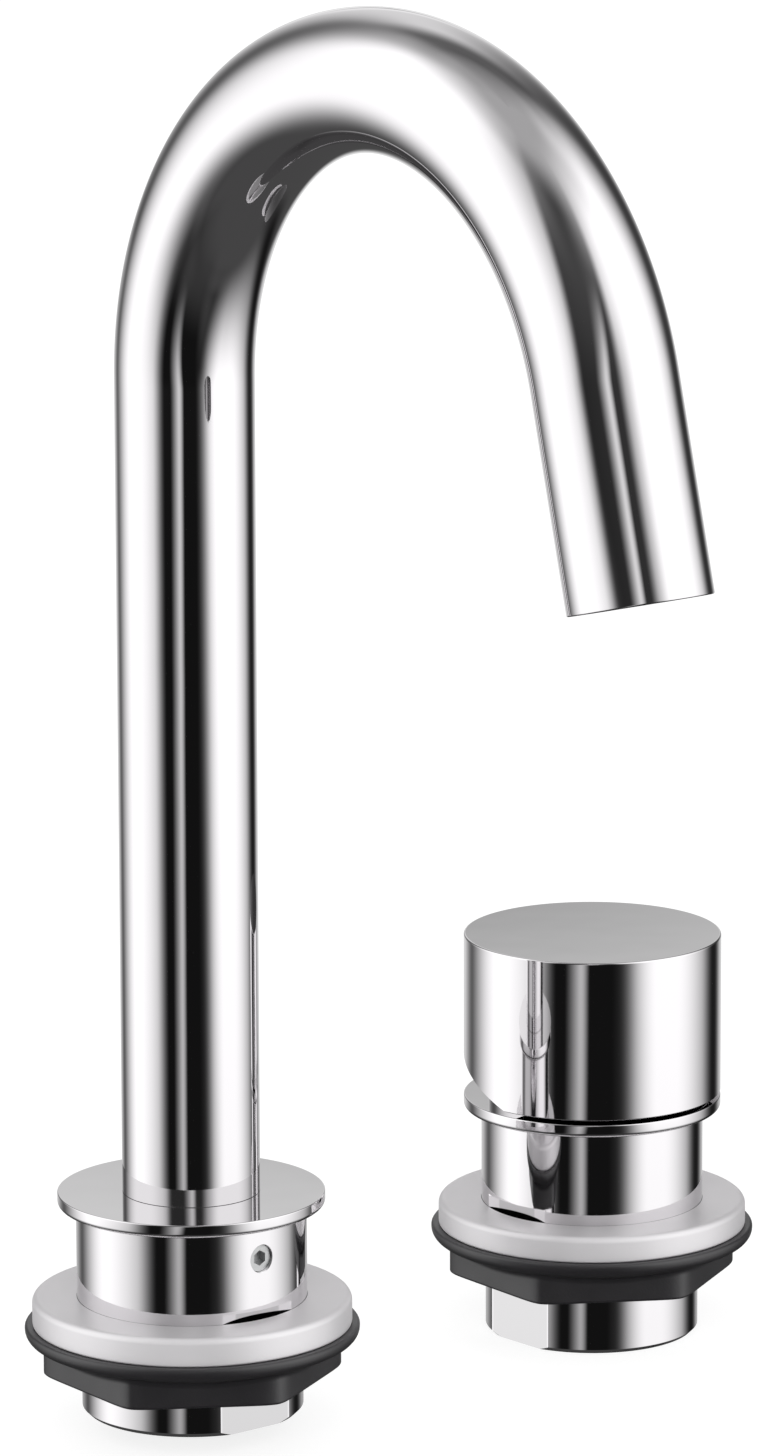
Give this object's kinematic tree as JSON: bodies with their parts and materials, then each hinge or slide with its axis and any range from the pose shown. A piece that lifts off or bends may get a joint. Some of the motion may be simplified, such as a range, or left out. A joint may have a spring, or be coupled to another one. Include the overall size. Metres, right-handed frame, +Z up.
{
  "type": "two-hole basin mixer",
  "caption": "Deck-mounted basin mixer in separate units: a tall swivelling gooseneck spout and a joystick valve with a round tilting knob.",
  "frame": {"origin": "on the spout's upright axis at the top of the deck, where the spout unit's flange rests", "axes": "+Z up; +X from the spout unit to the valve unit; the spout reaches towards -Y, turned 3.6 degrees towards -X"},
  "size_m": [0.1606, 0.1676, 0.2666],
  "materials": {
    "polished_chrome": "mirror-polished chrome plate on brass",
    "satin_nickel": "smooth satin plate",
    "black_nylon": "moulded, fine matt texture",
    "black_rubber": "smooth moulded",
    "white_acetal": "moulded",
    "grey_acetal": "moulded",
    "alumina_ceramic": "lapped ceramic",
    "bare_brass": "turned",
    "stainless_steel": "plain"
  },
  "bodies": {
    "deck_units": {"spout_body": "polished_chrome", "swivel_limit_screw": "stainless_steel", "spout_flange_seal": "black_rubber", "spout_clamp_washer": "satin_nickel", "spout_back_nut": "black_nylon", "valve_body": "polished_chrome", "cartridge_base": "white_acetal", "cartridge_base_seals": "black_rubber", "cartridge_housing": "white_acetal", "fixed_ceramic_disc": "alumina_ceramic", "temperature_stop_ring": "white_acetal", "cartridge_nut": "bare_brass", "cover_cap": "polished_chrome", "valve_flange_seal": "black_rubber", "valve_clamp_washer": "satin_nickel", "valve_back_nut": "black_nylon"},
    "swivel_spout": {"spout_tube": "polished_chrome", "spout_ferrule": "polished_chrome", "upper_glide_ring": "white_acetal", "lower_glide_ring": "white_acetal", "swivel_o_rings": "black_rubber", "aerator_housing": "grey_acetal", "flow_straightener": "grey_acetal", "aerator_seal": "black_rubber"},
    "turning_carrier": {"spindle_carrier": "white_acetal", "spindle_pivot_pin": "stainless_steel"},
    "sliding_disc": {"moving_ceramic_disc": "alumina_ceramic", "disc_slider": "white_acetal"},
    "tilting_knob": {"joystick_spindle": "bare_brass", "knob_shell": "polished_chrome", "knob_insert": "grey_acetal", "knob_set_screw": "stainless_steel"}
  },
  "joints": [
    {"name": "spout_swivel", "type": "hinge", "parent": "deck_units", "child": "swivel_spout", "pos_m": [0, 0, 0], "axis": [0, 0, 1], "range_deg": [-60, 60]},
    {"name": "knob_turn", "type": "hinge", "parent": "deck_units", "child": "turning_carrier", "pos_m": [0.1, 0, 0], "axis": [0, 0, 1], "range_deg": [-45, 45]},
    {"name": "knob_tilt", "type": "hinge", "parent": "turning_carrier", "child": "tilting_knob", "pos_m": [0.1, 0, 0.0085], "axis": [-1, 0, 0], "range_deg": [0, 20]},
    {"name": "disc_travel", "type": "slide", "parent": "turning_carrier", "child": "sliding_disc", "axis": [0, 1, 0], "range_m": [-0.00463, 0]}
  ],
  "couplings": [
    {"joint": "disc_travel", "follows": "knob_tilt", "m_per_rad": -0.013228}
  ]
}
